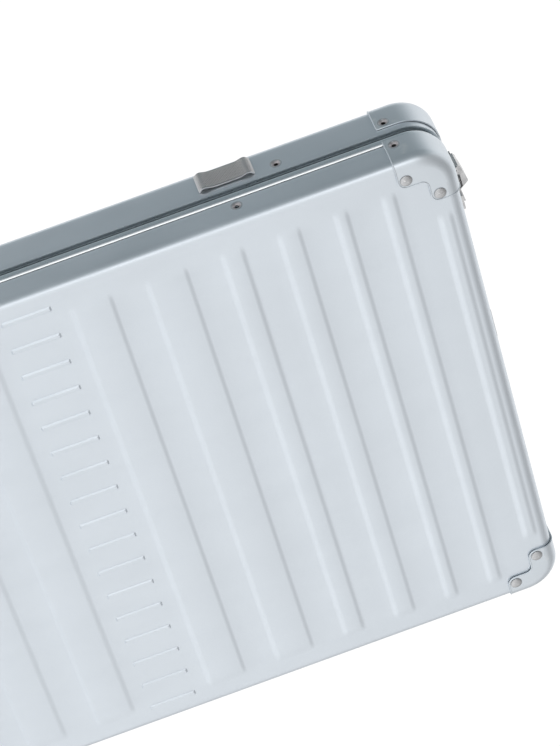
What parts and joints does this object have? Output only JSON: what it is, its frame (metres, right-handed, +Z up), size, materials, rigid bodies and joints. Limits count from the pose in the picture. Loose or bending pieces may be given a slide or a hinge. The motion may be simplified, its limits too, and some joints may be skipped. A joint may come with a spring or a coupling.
{
  "type": "hard shell trolley case",
  "caption": "Slim ribbed aluminium clamshell suitcase with riveted corner plates, slide latches, a top clamp, a telescopic pull handle and recessed wheels.",
  "frame": {"origin": "centre of the bounding box on the floor that the case stands on", "axes": "+Z up along the case's long side; +X towards the hinge side, -X the opening side; -Y the lid's face, +Y the back with the wheels"},
  "size_m": [0.5174, 0.088, 0.7377],
  "materials": {
    "shell_sheet": "satin, anodised pale blue-grey",
    "corner_plate": "satin, anodised pale blue-grey",
    "frame_extrusion": "satin, anodised grey",
    "rim_seal": "matte",
    "lining_fabric": "woven polyester",
    "webbing": "woven webbing",
    "buckle_plastic": "matte",
    "hinge_steel": "satin",
    "knurled_metal": "knurled, satin",
    "latch_steel": "satin",
    "tyre": "matte",
    "hub_plastic": "satin",
    "axle_steel": "satin",
    "housing_plastic": "fine grain",
    "tube_aluminium": "satin, anodised",
    "grip_plastic": "soft touch",
    "button_plastic": "satin"
  },
  "bodies": {
    "case": {"back_frame": "frame_extrusion", "back_lining_border_bottom": "lining_fabric", "back_lining_border_top": "lining_fabric", "back_lining_floor": "lining_fabric", "back_lining_walls": "lining_fabric", "back_shell": "shell_sheet", "buckle_plug": "buckle_plastic", "buckle_socket": "buckle_plastic", "carry_mount_left": "housing_plastic", "carry_mount_right": "housing_plastic", "clamp_base": "latch_steel", "clamp_pin": "latch_steel", "corner_plate_back_lower_left": "corner_plate", "corner_plate_back_lower_right": "corner_plate", "corner_plate_back_upper_left": "corner_plate", "corner_plate_back_upper_right": "corner_plate", "handle_tray": "housing_plastic", "hinge_leaf_case_lower": "hinge_steel", "hinge_leaf_case_upper": "hinge_steel", "hinge_pin_lower": "hinge_steel", "hinge_pin_upper": "hinge_steel", "outer_tube_left": "tube_aluminium", "outer_tube_right": "tube_aluminium", "rim_seal": "rim_seal", "strap_left": "webbing", "strap_right": "webbing", "wheel_axle_left": "axle_steel", "wheel_axle_right": "axle_steel", "wheel_housing_left": "housing_plastic", "wheel_housing_right": "housing_plastic"},
    "lid": {"clamp_striker": "latch_steel", "corner_plate_front_lower_left": "corner_plate", "corner_plate_front_lower_right": "corner_plate", "corner_plate_front_upper_left": "corner_plate", "corner_plate_front_upper_right": "corner_plate", "foot_left": "housing_plastic", "foot_right": "housing_plastic", "front_frame": "frame_extrusion", "front_lining": "lining_fabric", "front_shell": "shell_sheet", "hinge_leaf_lid_lower": "hinge_steel", "hinge_leaf_lid_upper": "hinge_steel", "latch_keeper_lower": "latch_steel", "latch_keeper_upper": "latch_steel", "lid_pocket": "lining_fabric"},
    "latch_slider_lower": {"latch_slider_lower": "knurled_metal"},
    "latch_slider_upper": {"latch_slider_upper": "knurled_metal"},
    "clamp_lever": {"clamp_lever": "knurled_metal"},
    "handle_stage_1": {"middle_tube_left": "tube_aluminium", "middle_tube_right": "tube_aluminium"},
    "handle_stage_2": {"inner_tube_left": "tube_aluminium", "inner_tube_right": "tube_aluminium", "pull_grip": "grip_plastic"},
    "release_button": {"release_button": "button_plastic"},
    "carry_handle": {"carry_handle": "grip_plastic"},
    "wheel_left": {"wheel_tyre_left": "tyre", "wheel_hub_left": "hub_plastic"},
    "wheel_right": {"wheel_tyre_right": "tyre", "wheel_hub_right": "hub_plastic"}
  },
  "joints": [
    {"name": "lid_hinge", "type": "hinge", "parent": "case", "child": "lid", "pos_m": [0.25535, -0.00045, 0.3675], "axis": [0, 0, 1], "range_deg": [0, 180]},
    {"name": "upper_latch_slide", "type": "slide", "parent": "case", "child": "latch_slider_upper", "axis": [0, 0, 1], "range_m": [0, 0.007], "stiffness_N_per_m": 150},
    {"name": "lower_latch_slide", "type": "slide", "parent": "case", "child": "latch_slider_lower", "axis": [0, 0, 1], "range_m": [0, 0.007], "stiffness_N_per_m": 150},
    {"name": "clamp_lever_hinge", "type": "hinge", "parent": "case", "child": "clamp_lever", "pos_m": [-0.18865, 0.01825, 0.7286], "axis": [0, -1, 0], "range_deg": [0, 60]},
    {"name": "handle_stage_1_slide", "type": "slide", "parent": "case", "child": "handle_stage_1", "axis": [0, 0, 1], "range_m": [0, 0.17]},
    {"name": "handle_stage_2_slide", "type": "slide", "parent": "handle_stage_1", "child": "handle_stage_2", "axis": [0, 0, 1], "range_m": [0, 0.17]},
    {"name": "release_button_press", "type": "slide", "parent": "handle_stage_2", "child": "release_button", "axis": [0, 0, -1], "range_m": [0, 0.003], "stiffness_N_per_m": 400},
    {"name": "carry_handle_lift", "type": "slide", "parent": "case", "child": "carry_handle", "axis": [0, 0, 1], "range_m": [0, 0.02]},
    {"name": "wheel_left_spin", "type": "hinge", "parent": "case", "child": "wheel_left", "pos_m": [-0.17645, 0.027, 0.017], "axis": [1, 0, 0], "continuous": true},
    {"name": "wheel_right_spin", "type": "hinge", "parent": "case", "child": "wheel_right", "pos_m": [0.17355, 0.027, 0.017], "axis": [1, 0, 0], "continuous": true}
  ]
}
